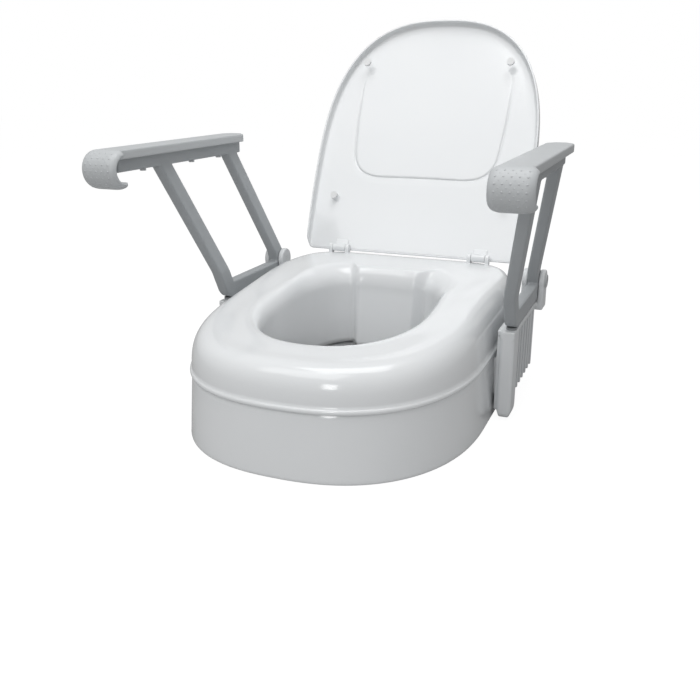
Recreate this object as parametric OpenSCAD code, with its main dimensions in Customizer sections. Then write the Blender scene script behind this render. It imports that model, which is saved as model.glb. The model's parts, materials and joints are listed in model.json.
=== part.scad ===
// Raised toilet seat with a hinged lid and fold-up armrests.
// X runs across the seat, -Y is the front, +Z is up. The lower edge of the skirt is at z = 0 and the
// origin is below the middle of the whole object with its lid open.

/* [Seat] */
// Width of the seat across its lip
seat_w = 380; // [360:2:400]
// From the widest line forward to the front of the lip
seat_front = 226; // [210:2:240]
// From the widest line back to the rear of the lip
seat_back = 290; // [280:2:300]
// Height of the lip line above the lower edge of the skirt
lip_z = 88; // [80:1:100]
// Rise of the seat surface above the lip at the front
rise_front = 50; // [45:1:60]
// Rise of the rear deck above the lip
rise_back = 77; // [70:1:85]
// Wall of the white mouldings
wall = 3.5; // [3:0.5:4.5]
// Depth of the rounded shoulder from the lip to the flat top
shoulder = 38; // [30:1:44]
// Radius of the bead along the lip
lip_bead = 2.6; // [2:0.1:3.2]
// Width of the opening
open_w = 212; // [200:2:230]
// From the widest line forward to the front of the opening
open_front = 136; // [125:1:145]
// From the widest line back to the rear of the opening
open_back = 176; // [165:1:185]
// Height of the lower end of the splash wall
splash_z = 44; // [42:1:60]
// Half width of the splash tongue at the rear of the opening
tongue_half = 50; // [40:1:58]

/* [Skirt] */
// Outward flare of the skirt from the lip to its lower edge
skirt_flare = 6; // [2:1:10]
// Height of the inner flange that rests over the bowl's rim
flange_z = 34; // [30:1:38]
// Thickness of the inner flange
flange_t = 5; // [4:0.5:6]
// Thickness of the rubber pads under the flange
rim_pad_t = 6; // [4:1:8]

/* [Lid] */
// Length of the lid from its hinge axis
lid_len = 404; // [380:2:420]
// Width of the lid
lid_w = 370; // [350:2:384]
// Thickness of the lid plate
lid_t = 3.2; // [2.5:0.1:4]
// Depth of the turned rim around the lid
lid_rim = 12; // [10:1:16]
// Lean of the open lid behind upright, in degrees
lid_lean = 27; // [15:1:30]
// Slope of the closed lid down to the front, in degrees
lid_slope = 2.5; // [2:0.1:3]
// Distance of the lid hinges from the middle
lid_hinge_x = 118; // [100:1:130]
// Radius of the lid hinge pins
lid_pin_r = 3; // [2.5:0.1:3.5]

/* [Armrests] */
// Distance of the frame's foot outside the lip
arm_out = 24; // [22:1:32]
// Outward shift of the pad against the foot
arm_splay = 32; // [20:1:40]
// Thickness of the frame, across the seat
arm_t = 16; // [14:1:18]
// Depth of each post, front to back
post_d = 28; // [24:1:32]
// Forward shift of a post for each unit of height
post_lean = 0.53; // [0.4:0.01:0.6]
// Distance between the two posts, front to back
post_gap = 178; // [160:1:190]
// Height of the arm's pivot
pivot_z = 155; // [150:1:160]
// Distance of the arm's pivot behind the widest line
pivot_y = 218; // [205:1:222]
// Height of the top of the arm pad
pad_z = 362; // [340:1:400]
// Width of the arm pad
pad_w = 38; // [34:1:44]
// From the widest line back to the rear end of the pad
pad_back = 152; // [140:1:160]
// From the widest line forward to the axis of the grip
grip_front = 166; // [150:1:180]
// Radius of the grip
grip_r = 24; // [20:1:26]
// Length of the grip, across the seat
grip_w = 50; // [44:1:54]
// Radius of the pivot pin
pivot_pin_r = 6; // [5:0.5:7]

/* [Brackets] */
// Radius of the hinge ears
ear_r = 17; // [15:1:19]
// Thickness of each hinge ear
ear_t = 8; // [6:0.5:10]
// Thickness of the bracket plate
plate_t = 6; // [5:0.5:8]

/* [Clamps] */
// Distance of each clamp screw inside the edge of the opening
clamp_in = 22; // [20:1:26]
// Width of each clamp jaw, front to back
clamp_w = 34; // [28:1:40]
// Travel of each clamp jaw
clamp_travel = 12; // [8:1:14]
// Radius of the clamp screw
clamp_r = 4; // [3:0.5:5]

/* [Hidden] */
$fn = 48;

eps = 0.01;
fit = 0.05;
gap = 0.4;
steps = 72;

// Seat curves
front_power = 2.4;
back_power = 6;
lip_half = seat_w / 2;
open_half = open_w / 2;
opening_power = 2.2;
opening_back_power = 3;
splash_draft = 4;

// Lid hinge
hinge_y = seat_back - 32;
knuckle_r = lid_pin_r + 3.4;
hinge_z = lip_z + rise_back + knuckle_r + 1;
lid_base = knuckle_r + 1;
knuckle_len = 22;
lid_ear_t = 6;
ear_web = knuckle_r - 2;
lid_curve_start = 150;
lid_power = 2.6;
lid_foot_half = lid_w / 2 - 6;
lid_foot_y = -2;
lid_web = 12;
buffer_r = 6;
buffer_t = 4;

// Armrests
pad_t = 5;
pad_lip = 12;
rail_h = 24;
foot_z = pivot_z - ear_r - 9;
rail_top_z = pad_z - pad_t - gap / 2;
rail_low_z = rail_top_z - rail_h;
post_low_z = foot_z + rail_h / 2;
splay_low_z = pivot_z + ear_r + 1;
arm_foot_x = lip_half + arm_out;
arm_top_x = arm_foot_x + arm_splay;
front_post_y = pivot_y - post_gap;
pin_len = arm_t + 2 * ear_t + 2 * gap;
cap_t = 2.5;
cap_r = pivot_pin_r + 4;

// Brackets
plate_x = arm_foot_x - arm_t / 2 - gap - ear_t;
column_w = 34;
column_low = 3;
column_y = front_post_y - 6 + column_w / 2;
column_t = ear_t + gap + arm_t - plate_t;
rib_count = 6;
rib_start = 46;
rib_step = 21;
rib_low = 30;
rib_t = 4;
rib_proud = column_t - 1;
ledge_t = 8;
stop_t = 3;
stop_r = 7;
column_top = foot_z - stop_t - gap / 2;
plate_back = pivot_y + 16;
bracket_screw_r = 2.5;
seat_sink = 7;
seat_margin = 14;
bracket_screw_y = [front_post_y + 34, pivot_y - 36];
bracket_screw_z = [40, 66];

// Shell screws and rim pads, as shares of a turn round the seat
screw_grip = 12;
screw_turns = [0.07, 0.25, 0.43, 0.57, 0.68, 0.82, 0.93];
boss_r = 6;
screw_r = 2;
head_r = 4;
head_t = 3;
rim_pad_turns = [0.12, 0.38, 0.62, 0.88];
rim_pad_r = 13;

// Clamps
clamp_x = open_half - clamp_in;
jaw_t = 5;
jaw_top = flange_z - gap / 2;
jaw_drop = 28;
jaw_out = 30;
face_t = 3;
knob_r = 11;
stud_head_r = 7;
stud_head_t = 3;
knob_h = 11;
tab_in = 18;

// The object spans from the front of the skirt to the top edge of the open lid
front_y = -(seat_front + skirt_flare);
lid_top_y = hinge_y + lid_len * sin(lid_lean) + (lid_base + lid_t) * cos(lid_lean);
mid_y = (front_y + lid_top_y) / 2;

white = [0.93, 0.94, 0.95];
arm_grey = [0.66, 0.68, 0.69];
bracket_grey = [0.80, 0.81, 0.82];
rubber = [0.25, 0.26, 0.27];
steel = [0.72, 0.73, 0.75];

function power(v, p) = sign(v) * pow(abs(v), p);

// A closed seat-shaped curve: a blunt oval in front of the widest line and a squarer end behind it
function seat_curve(half, front, back, n_front, n_back) =
    [for (i = [0 : steps - 1])
        let (a = 360 * i / steps, ahead = sin(a) < 0, n = ahead ? n_front : n_back)
        [half * power(cos(a), 2 / n), (ahead ? front : back) * power(sin(a), 2 / n)]];

function lip_curve(grow = 0) =
    seat_curve(lip_half + grow, seat_front + grow, seat_back + grow, front_power, back_power);
function opening_curve(grow = 0) =
    seat_curve(open_half + grow, open_front + grow, open_back + grow, opening_power, opening_back_power);

// The seat surface rises smoothly from the front of the opening to the rear deck
function ease(t) = let (c = min(max(t, 0), 1)) c * c * (3 - 2 * c);
function rise_at(y) =
    rise_front + (rise_back - rise_front) * ease((y + seat_front) / (seat_front + open_back));

// Section of the shell: [place, distance in from the lip or out from the opening, share of the rise]
shoulder_power = 2.8;
out_rows = 7;
in_rows = 5;
section_out = [for (k = [0 : out_rows])
    let (a = 90 * k / out_rows)
    [1, shoulder * (1 - pow(cos(a), 2 / shoulder_power)), pow(sin(a), 2 / shoulder_power)]];
edge_r = 20;
edge_share = 0.42;
section_in = [for (k = [0 : in_rows])
    let (a = 90 * k / in_rows)
    [0, edge_r * (1 - sin(a)), 1 - edge_share * (1 - cos(a))]];

function shell_point(lip, open, y_rise, s, inset) =
    let (way = (lip - open) / norm(lip - open),
         thin = inset * (1 - s[2]),
         at = s[0] == 1 ? lip - way * (s[1] + thin) : open + way * (s[1] + thin / edge_share),
         z = lip_z + y_rise * s[2] - inset * s[2])
    [at[0], at[1], z];

// A closed skin of rings, where each ring holds one point for every section point
module ring_skin(rings) {
    n = len(rings);
    m = len(rings[0]);
    points = [for (ring = rings) each ring];
    faces = [for (i = [0 : n - 1], j = [0 : m - 1])
        let (i2 = (i + 1) % n, j2 = (j + 1) % m)
        each [[i * m + j, i * m + j2, i2 * m + j2], [i * m + j, i2 * m + j2, i2 * m + j]]];
    polyhedron(points = points, faces = faces, convexity = 8);
}

// Ring made of a stack of [curve, z] outside and back inside
module wall_skin(stack) {
    ring_skin([for (i = [0 : steps - 1]) [for (level = stack) [level[0][i][0], level[0][i][1], level[1]]]]);
}

module place() translate([0, -mid_y, 0]) children();
module side(s) mirror([s < 0 ? 1 : 0, 0, 0]) children();
module curve_plate(curve, z, t) translate([0, 0, z]) linear_extrude(t) polygon(curve);
function turn_curve(curve, turn) = curve[round(turn * steps) % steps];
function mid_ring(turn) = (turn_curve(lip_curve(), turn) + turn_curve(opening_curve(), turn)) / 2;
function mid_rise(turn) =
    (rise_at(turn_curve(lip_curve(), turn)[1]) + rise_at(turn_curve(opening_curve(), turn)[1])) / 2;

// A rectangle with round corners, centred on its size
function round_rect(w, h, r) = [for (c = [0 : 3], k = [0 : 4])
    let (a = 90 * c + 22.5 * k, sx = (c == 0 || c == 3) ? 1 : -1, sy = c < 2 ? 1 : -1)
    [sx * (w / 2 - r) + r * cos(a), sy * (h / 2 - r) + r * sin(a)]];

// --- Seat body ---

module seat_shell() place() color(white) {
    lip = lip_curve();
    open = opening_curve();
    difference() {
        union() {
            ring_skin([for (i = [0 : steps - 1])
                let (rise = rise_at(lip[i][1]), rise_in = rise_at(open[i][1]),
                     way = (open[i] - lip[i]) / norm(open[i] - lip[i]),
                     foot = open[i] + way * splash_draft,
                     foot_out = foot - way * wall)
                concat([for (s = section_out) shell_point(lip[i], open[i], rise, s, 0)],
                    [for (s = section_in) shell_point(lip[i], open[i], rise_in, s, 0)],
                    [[foot[0], foot[1], splash_z], [foot_out[0], foot_out[1], splash_z]],
                    [for (k = [in_rows : -1 : 0])
                        shell_point(lip[i], open[i], rise_in, section_in[k], wall)],
                    [for (k = [out_rows : -1 : 0])
                        shell_point(lip[i], open[i], rise, section_out[k], wall)])]);
            lip_bead_ring();
            splash_tongue();
            for (turn = screw_turns) shell_boss(turn);
            for (s = [-1, 1]) side(s) lid_ears();
        }
        for (turn = screw_turns)
            translate([mid_ring(turn)[0], mid_ring(turn)[1], flange_z]) cylinder(r = screw_r + fit, h = 20);
        for (s = [-1, 1]) side(s)
            translate([lid_hinge_x - 30, hinge_y, hinge_z]) rotate([0, 90, 0])
                cylinder(r = lid_pin_r + fit, h = 60);
    }
}

module lip_bead_ring() {
    wall_skin([[lip_curve(-wall + 0.5), lip_z - lip_bead], [lip_curve(0.6), lip_z - lip_bead],
        [lip_curve(lip_bead * 0.8), lip_z - lip_bead * 0.5], [lip_curve(lip_bead), lip_z],
        [lip_curve(lip_bead * 0.6), lip_z + lip_bead * 0.7], [lip_curve(-wall + 0.5), lip_z + lip_bead]]);
}

module splash_tongue() {
    hull() {
        translate([0, open_back - 8, lip_z + rise_back - 9]) linear_extrude(1)
            polygon(round_rect(2 * tongue_half, 22, 8));
        translate([0, open_back - 14, lip_z - 6]) linear_extrude(1)
            polygon(round_rect(2 * tongue_half - 8, 22, 8));
    }
}

module shell_boss(turn) {
    at = mid_ring(turn);
    translate([at[0], at[1], flange_z + flange_t])
        cylinder(r = boss_r, h = lip_z + mid_rise(turn) - wall * 0.6 - flange_z - flange_t);
}

module lid_ears() {
    for (x = [-1, 1] * (knuckle_len / 2 + gap + lid_ear_t / 2))
        translate([lid_hinge_x + x, hinge_y, hinge_z]) rotate([0, 90, 0]) {
            cylinder(r = knuckle_r, h = lid_ear_t, center = true);
            translate([knuckle_r, 0, 0]) cube([2 * knuckle_r, 2 * ear_web, lid_ear_t], center = true);
        }
}

// Lower moulding: flared skirt, inner flange with clamp tabs, and the pads that carry the arm brackets
module base_skirt() place() color(white) difference() {
    union() {
        wall_skin([[lip_curve(-wall), lip_z - lip_bead - eps], [lip_curve(-wall + skirt_flare), 0],
            [lip_curve(skirt_flare), 0], [lip_curve(skirt_flare - 0.4), 3],
            [lip_curve(0), lip_z - lip_bead - eps]]);
        difference() {
            curve_plate(lip_curve(1.5), flange_z, flange_t);
            curve_plate(opening_curve(4), flange_z - 1, flange_t + 2);
        }
        for (s = [-1, 1]) side(s) {
            translate([clamp_x - tab_in, -clamp_w / 2 - 4, flange_z])
                cube([open_half + 8 - clamp_x + tab_in, clamp_w + 8, flange_t]);
            bracket_seat();
        }
    }
    for (turn = screw_turns)
        translate([mid_ring(turn)[0], mid_ring(turn)[1], flange_z - 1])
            cylinder(r = screw_r + fit, h = flange_t + 2);
    for (s = [-1, 1]) side(s) {
        translate([clamp_x, 0, flange_z - 1]) cylinder(r = clamp_r + fit, h = flange_t + 2);
        for (y = bracket_screw_y, z = bracket_screw_z)
            translate([plate_x - 24, y, z]) rotate([0, 90, 0]) cylinder(r = bracket_screw_r + fit, h = 30);
    }
}

// Two flat pads on the outside of the skirt, flush with the back of the bracket plate
module bracket_seat() {
    for (y = bracket_screw_y)
        translate([lip_half - seat_sink, y - seat_margin, bracket_screw_z[0] - seat_margin])
            cube([plate_x - lip_half + seat_sink, 2 * seat_margin,
                bracket_screw_z[1] - bracket_screw_z[0] + 2 * seat_margin]);
}

module shell_screws() place() color(steel) for (turn = screw_turns)
    translate([mid_ring(turn)[0], mid_ring(turn)[1], flange_z - head_t]) {
        cylinder(r = head_r, h = head_t);
        cylinder(r = screw_r, h = head_t + flange_t + screw_grip);
    }

module rim_pads() place() color(rubber) for (turn = rim_pad_turns)
    translate([mid_ring(turn)[0], mid_ring(turn)[1], flange_z - rim_pad_t])
        cylinder(r = rim_pad_r, h = rim_pad_t);

// --- Lid, drawn closed along -Y from its hinge axis and turned to its open rest ---

function lid_half_at(s, inset) = s < lid_curve_start
    ? lid_foot_half - inset + (lid_w / 2 - lid_foot_half) * (1 - pow(1 - s / lid_curve_start, 2))
    : (lid_w / 2 - inset)
        * pow(1 - pow((s - lid_curve_start) / (lid_len - lid_curve_start - inset), lid_power), 1 / lid_power);
function lid_curve(inset, foot) =
    let (top = lid_len - inset,
         rows = concat([for (k = [0 : 5]) foot + (lid_curve_start - foot) * k / 5],
             [for (k = [1 : 23]) lid_curve_start + (top - lid_curve_start) * sin(90 * k / 24)]),
         right = [for (s = rows) [lid_half_at(s, inset), -s]],
         left = [for (k = [len(rows) - 1 : -1 : 0]) [-lid_half_at(rows[k], inset), -rows[k]]])
    concat(right, [[0, -top]], left);

module lid_pose() place() translate([0, hinge_y, hinge_z]) rotate([-90 - lid_lean, 0, 0]) children();

module lid() lid_pose() color(white) difference() {
    union() {
        translate([0, 0, lid_base]) linear_extrude(lid_t) polygon(lid_curve(0, lid_foot_y));
        translate([0, 0, lid_base - lid_rim]) linear_extrude(lid_rim + eps) difference() {
            polygon(lid_curve(0, lid_foot_y + 8));
            polygon(lid_curve(wall, lid_foot_y + 2));
        }
        for (s = [-1, 1]) side(s) translate([lid_hinge_x - knuckle_len / 2, 0, 0]) {
            rotate([0, 90, 0]) cylinder(r = knuckle_r, h = knuckle_len);
            translate([0, -lid_web, lid_base - 2]) cube([knuckle_len, lid_web, lid_t + 2]);
        }
        for (b = buffer_places()) translate([b[0], b[1], buffer_low(b) + buffer_t])
            cylinder(r = buffer_r + 2, h = lid_base - buffer_low(b) - buffer_t + 1);
    }
    for (s = [-1, 1]) side(s) translate([lid_hinge_x - knuckle_len / 2 - 1, 0, 0])
        rotate([0, 90, 0]) cylinder(r = lid_pin_r + fit, h = knuckle_len + 2);
}

function buffer_places() = [for (s = [-1, 1], at = [[lid_w / 2 - 40, -90], [lid_w / 2 - 62, -lid_len + 78]])
    [s * at[0], at[1]]];

// Height of a buffer's foot over the hinge axis, so that all four meet the seat when the lid is closed
function buffer_low(b) =
    (lip_z + rise_at(hinge_y + b[1]) + 3 * gap - hinge_z) / cos(lid_slope) - b[1] * tan(lid_slope);

module lid_buffers() lid_pose() color(rubber) for (b = buffer_places())
    translate([b[0], b[1], buffer_low(b)]) cylinder(r = buffer_r, h = buffer_t);

module lid_pin(s) place() color(steel) side(s)
    translate([lid_hinge_x - knuckle_len / 2 - gap - lid_ear_t, hinge_y, hinge_z]) rotate([0, 90, 0])
        cylinder(r = lid_pin_r, h = knuckle_len + 2 * gap + 2 * lid_ear_t);

// --- Armrests, drawn on the +X side ---

// A post stands upright across the seat up to the height of the hinge ears, and splays above them
module post(y_foot) {
    hull() {
        post_section(arm_foot_x, y_foot, post_low_z);
        post_section(arm_foot_x, y_foot, splay_low_z);
    }
    hull() {
        post_section(arm_foot_x, y_foot, splay_low_z);
        post_section(arm_top_x, y_foot, rail_low_z + 4);
    }
}

module post_section(x, y_foot, z) translate([x, y_foot + (pivot_z - z) * post_lean, z]) linear_extrude(1)
    polygon(round_rect(arm_t, post_d, 4));

module arm_frame(s) place() color(arm_grey) side(s) difference() {
    union() {
        post(front_post_y);
        post(pivot_y);
        translate([arm_foot_x, 0, 0]) rotate([90, 0, 0])
            translate([0, foot_z + rail_h / 2, -pivot_y]) linear_extrude(pivot_y - front_post_y + 4)
                polygon(round_rect(arm_t, rail_h, 4));
        translate([arm_top_x, 0, 0]) rotate([90, 0, 0])
            translate([0, rail_low_z + rail_h / 2, -pad_back + 5])
                linear_extrude(pad_back + grip_front - 10) polygon(round_rect(arm_t, rail_h, 4));
        translate([arm_foot_x, pivot_y, pivot_z]) rotate([0, 90, 0])
            cylinder(r = ear_r - 1, h = arm_t, center = true);
    }
    translate([arm_foot_x, pivot_y, pivot_z]) rotate([0, 90, 0])
        cylinder(r = pivot_pin_r + fit, h = arm_t + 2, center = true);
    for (y = pad_screw_y()) translate([arm_top_x, y, rail_low_z - 1])
        cylinder(r = screw_r + fit, h = rail_h + 2);
    translate([arm_top_x, -grip_front, grip_z()]) rotate([0, 90, 0])
        cylinder(r = grip_r + gap, h = grip_w, center = true);
}

function grip_z() = pad_z - grip_r;
function pad_screw_y() = [-grip_front + 70, 20, pad_back - 58];

// Pad with side lips, whose front end curls over and under into the grip
module arm_pad(s) place() color(arm_grey) side(s) translate([arm_top_x, 0, 0]) difference() {
    union() {
        translate([-pad_w / 2, -grip_front, pad_z - pad_t]) cube([pad_w, grip_front + pad_back, pad_t]);
        for (e = [-1, 1]) translate([e * (pad_w / 2 - 1.5) - 1.5, -grip_front, pad_z - pad_lip])
            cube([3, grip_front + pad_back, pad_lip - 1]);
        translate([-pad_w / 2, pad_back - 3, pad_z - pad_lip]) cube([pad_w, 3, pad_lip - 1]);
        translate([0, -grip_front, grip_z()]) rotate([0, 90, 0])
            rotate_extrude() polygon(concat([[0, -grip_w / 2]], grip_section(), [[0, grip_w / 2]]));
    }
    translate([0, -grip_front, grip_z()]) rotate([0, 90, 0]) {
        cylinder(r = grip_r - 9, h = grip_w + 2, center = true);
        translate([0, 0, -grip_w / 2 - 1]) cube([grip_r + 1, grip_r + 1, grip_w + 2]);
    }
    for (y = pad_screw_y()) translate([0, y, pad_z - pad_t - 1]) cylinder(r = screw_r + fit, h = pad_t - 1);
}

// Half of the grip's outline, rounded over at both ends
function grip_section() =
    let (r = 10)
    concat([for (k = [0 : 6]) [grip_r - r + r * sin(15 * k), -grip_w / 2 + r - r * cos(15 * k)]],
        [for (k = [6 : -1 : 0]) [grip_r - r + r * sin(15 * k), grip_w / 2 - r + r * cos(15 * k)]]);

module pad_screws(s) place() color(steel) side(s) for (y = pad_screw_y())
    translate([arm_top_x, y, rail_low_z - head_t]) {
        cylinder(r = head_r, h = head_t);
        cylinder(r = screw_r, h = head_t + rail_h + gap / 2 + 2);
    }

// Bracket: column in front, plate along the skirt, and two ears that hold the arm's pivot
module arm_bracket(s) place() color(bracket_grey) side(s) difference() {
    union() {
        translate([plate_x, 0, 0]) rotate([90, 0, 90]) linear_extrude(plate_t) polygon([
            [column_y, 12], [front_post_y + column_w, 8], [pivot_y - 20, 22], [plate_back, 44],
            [plate_back, pivot_z - 12], [pivot_y - 40, column_top], [column_y, column_top]]);
        translate([plate_x + plate_t - 1, column_y, (column_low + column_top) / 2]) rotate([90, 0, 90])
            linear_extrude(column_t + 1) polygon(round_rect(column_w, column_top - column_low, 8));
        for (k = [0 : rib_count - 1]) translate([plate_x, front_post_y + rib_start + rib_step * k, rib_low])
            cube([plate_t + rib_proud, rib_t, column_top - rib_low - 4]);
        translate([plate_x, front_post_y, column_top - ledge_t])
            cube([plate_t + rib_proud, plate_back - front_post_y, ledge_t]);
        for (x = [arm_foot_x - arm_t / 2 - gap - ear_t, arm_foot_x + arm_t / 2 + gap])
            translate([x, 0, 0]) {
                translate([0, pivot_y, pivot_z]) rotate([0, 90, 0]) cylinder(r = ear_r, h = ear_t);
                translate([0, pivot_y - ear_r, column_top - 12])
                    cube([ear_t, 2 * ear_r, pivot_z - column_top + 12]);
            }
        translate([plate_x, pivot_y - ear_r, column_top - 12])
            cube([arm_t + 2 * ear_t + 2 * gap, 2 * ear_r, 10]);
    }
    translate([plate_x - 1, pivot_y, pivot_z]) rotate([0, 90, 0])
        cylinder(r = pivot_pin_r + fit, h = pin_len + 2);
    for (y = bracket_screw_y, z = bracket_screw_z) translate([plate_x - 1, y, z]) rotate([0, 90, 0])
        cylinder(r = bracket_screw_r + fit, h = plate_t + 20);
}

module bracket_screws(s) place() color(steel) side(s) for (y = bracket_screw_y, z = bracket_screw_z)
    translate([plate_x - 10, y, z]) rotate([0, 90, 0]) {
        cylinder(r = bracket_screw_r, h = 10 + plate_t);
        translate([0, 0, 10 + plate_t]) cylinder(r = head_r, h = head_t);
    }

module pivot_pin(s) place() color(steel) side(s)
    translate([plate_x, pivot_y, pivot_z]) rotate([0, 90, 0]) cylinder(r = pivot_pin_r, h = pin_len);

module pivot_cap(s) place() color(arm_grey) side(s)
    translate([plate_x + pin_len, pivot_y, pivot_z]) rotate([0, 90, 0])
        cylinder(r1 = cap_r, r2 = cap_r - 1, h = cap_t);

module arm_stop(s) place() color(rubber) side(s)
    translate([arm_foot_x, column_y, column_top]) cylinder(r = stop_r, h = stop_t);

// --- Bowl clamps ---

module clamp_jaw(s) place() color(bracket_grey) side(s) difference() {
    union() {
        translate([clamp_x - tab_in, -clamp_w / 2, jaw_top - jaw_t])
            cube([tab_in + jaw_out - clamp_travel, clamp_w, jaw_t]);
        translate([clamp_x + jaw_out - clamp_travel - jaw_t, -clamp_w / 2, jaw_top - jaw_drop])
            cube([jaw_t, clamp_w, jaw_drop]);
    }
    hull() for (x = [0, -clamp_travel])
        translate([clamp_x + x, 0, jaw_top - jaw_t - 1])
            cylinder(r = clamp_r + gap, h = jaw_t + 2, $fn = 32);
}

module clamp_face(s) place() color(rubber) side(s)
    translate([clamp_x + jaw_out - clamp_travel, -clamp_w / 2, jaw_top - jaw_drop])
        cube([face_t, clamp_w, jaw_drop - jaw_t - 4]);

module clamp_stud(s) place() color(steel) side(s) translate([clamp_x, 0, 0]) {
    stud_low = jaw_top - jaw_t - 4;
    translate([0, 0, stud_low]) cylinder(r = clamp_r, h = flange_z + flange_t + gap - stud_low);
    translate([0, 0, flange_z + flange_t + gap / 2]) cylinder(r = stud_head_r, h = stud_head_t);
}

module clamp_knob(s) place() color(arm_grey) side(s)
    translate([clamp_x, 0, jaw_top - jaw_t - gap / 2 - knob_h]) difference() {
        union() {
            cylinder(r = knob_r - 3, h = knob_h);
            for (k = [0 : 5]) rotate(60 * k) translate([knob_r - 3, 0, 0])
                cylinder(r = 3, h = knob_h, $fn = 24);
        }
        translate([0, 0, knob_h - 4 + gap / 2]) cylinder(r = clamp_r + fit, h = 5);
    }

seat_shell();
base_skirt();
shell_screws();
rim_pads();
lid();
lid_pin(-1);  // lid_pin_left
lid_pin(1);  // lid_pin_right
lid_buffers();
arm_bracket(-1);  // arm_bracket_left
arm_bracket(1);  // arm_bracket_right
bracket_screws(-1);  // bracket_screws_left
bracket_screws(1);  // bracket_screws_right
arm_frame(-1);  // arm_frame_left
arm_frame(1);  // arm_frame_right
arm_pad(-1);  // arm_pad_left
arm_pad(1);  // arm_pad_right
pad_screws(-1);  // pad_screws_left
pad_screws(1);  // pad_screws_right
pivot_pin(-1);  // pivot_pin_left
pivot_pin(1);  // pivot_pin_right
pivot_cap(-1);  // pivot_cap_left
pivot_cap(1);  // pivot_cap_right
arm_stop(-1);  // arm_stop_left
arm_stop(1);  // arm_stop_right
clamp_jaw(-1);  // clamp_jaw_left
clamp_jaw(1);  // clamp_jaw_right
clamp_face(-1);  // clamp_face_left
clamp_face(1);  // clamp_face_right
clamp_stud(-1);  // clamp_stud_left
clamp_stud(1);  // clamp_stud_right
clamp_knob(-1);  // clamp_knob_left
clamp_knob(1);  // clamp_knob_right
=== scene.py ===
# Raised toilet seat with a hinged lid and fold-up armrests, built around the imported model.
import json
import math

import bpy
import numpy as np
from mathutils import Matrix, Vector


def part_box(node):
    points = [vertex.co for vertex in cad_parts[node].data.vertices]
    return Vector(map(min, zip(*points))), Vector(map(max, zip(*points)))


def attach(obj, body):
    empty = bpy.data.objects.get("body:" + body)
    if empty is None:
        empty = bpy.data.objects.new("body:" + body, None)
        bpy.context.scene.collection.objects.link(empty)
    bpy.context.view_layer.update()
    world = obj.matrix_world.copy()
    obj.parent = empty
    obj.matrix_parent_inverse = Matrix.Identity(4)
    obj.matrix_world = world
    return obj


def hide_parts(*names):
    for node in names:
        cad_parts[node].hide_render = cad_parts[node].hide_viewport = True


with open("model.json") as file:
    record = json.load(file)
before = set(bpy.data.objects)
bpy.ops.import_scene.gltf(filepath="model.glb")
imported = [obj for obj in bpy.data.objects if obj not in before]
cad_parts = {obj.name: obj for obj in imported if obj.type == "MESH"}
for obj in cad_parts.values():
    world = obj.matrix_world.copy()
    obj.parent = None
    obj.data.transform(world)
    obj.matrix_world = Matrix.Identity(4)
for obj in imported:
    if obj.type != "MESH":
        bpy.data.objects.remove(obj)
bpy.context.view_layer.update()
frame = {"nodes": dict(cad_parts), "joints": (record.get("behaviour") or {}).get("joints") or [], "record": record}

# --- Camera and studio ---
# A pale floor and backdrop under soft lamps: a wide one high in front, one overhead, a small window-like one
# in front whose shape shows in the gloss, and an even fill from all round.
camera_data = bpy.data.cameras.new("camera")
camera_data.lens = 42.18
camera_data.sensor_width = 36.0
camera = bpy.data.objects.new("camera", camera_data)
camera.location = (0.3992, -1.1072, 0.4476)
camera.rotation_euler = (math.radians(71.40), 0.0, math.radians(21.66))
bpy.context.scene.collection.objects.link(camera)
bpy.context.scene.camera = camera
bpy.context.scene.view_settings.view_transform = "Standard"


def soft_lamp(name, place, aim, width, height, watts, tint=(1.0, 1.0, 1.0)):
    data = bpy.data.lights.new(name, "AREA")
    data.shape = "RECTANGLE"
    data.size, data.size_y, data.energy, data.color = width, height, watts, tint
    lamp = bpy.data.objects.new(name, data)
    lamp.location = place
    lamp.rotation_euler = (Vector(aim) - Vector(place)).to_track_quat("-Z", "Y").to_euler()
    bpy.context.scene.collection.objects.link(lamp)


soft_lamp("high_front", (-0.35, -1.35, 1.95), (0.0, 0.0, 0.15), 1.7, 1.1, 10.5)
soft_lamp("overhead", (0.1, -0.15, 2.2), (0.0, 0.0, 0.15), 1.5, 1.2, 18.0)
soft_lamp("front_window", (0.35, -2.3, 0.75), (0.0, 0.0, 0.12), 0.42, 0.55, 5.0)

world = bpy.data.worlds.new("studio")
bpy.context.scene.world = world
world.use_nodes = True
studio = world.node_tree
studio.nodes.clear()
sky_out = studio.nodes.new("ShaderNodeOutputWorld")
sky = studio.nodes.new("ShaderNodeBackground")
sky_rays = studio.nodes.new("ShaderNodeLightPath")
sky_level = studio.nodes.new("ShaderNodeMapRange")
sky.inputs["Color"].default_value = (1.0, 1.0, 1.0, 1.0)
sky_level.inputs["To Min"].default_value = 0.46
sky_level.inputs["To Max"].default_value = 1.0
studio.links.new(sky_rays.outputs["Is Camera Ray"], sky_level.inputs["Value"])
studio.links.new(sky_level.outputs["Result"], sky.inputs["Strength"])
studio.links.new(sky.outputs["Background"], sky_out.inputs["Surface"])

floor_mesh = bpy.data.meshes.new("floor")
floor_reach = 6.0
floor_mesh.from_pydata([(-floor_reach, -floor_reach, 0), (floor_reach, -floor_reach, 0),
                        (floor_reach, floor_reach, 0), (-floor_reach, floor_reach, 0)], [], [(0, 1, 2, 3)])
floor = bpy.data.objects.new("floor", floor_mesh)
floor.location.z = -0.0005
bpy.context.scene.collection.objects.link(floor)
floor_mat = bpy.data.materials.new("studio_floor")
floor_mat.use_nodes = True
floor_tree = floor_mat.node_tree
floor_tree.nodes.clear()
floor_out = floor_tree.nodes.new("ShaderNodeOutputMaterial")
floor_mix = floor_tree.nodes.new("ShaderNodeMixShader")
floor_matte = floor_tree.nodes.new("ShaderNodeBsdfDiffuse")
floor_glow = floor_tree.nodes.new("ShaderNodeEmission")
floor_rays = floor_tree.nodes.new("ShaderNodeLightPath")
floor_share = floor_tree.nodes.new("ShaderNodeMath")
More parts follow.
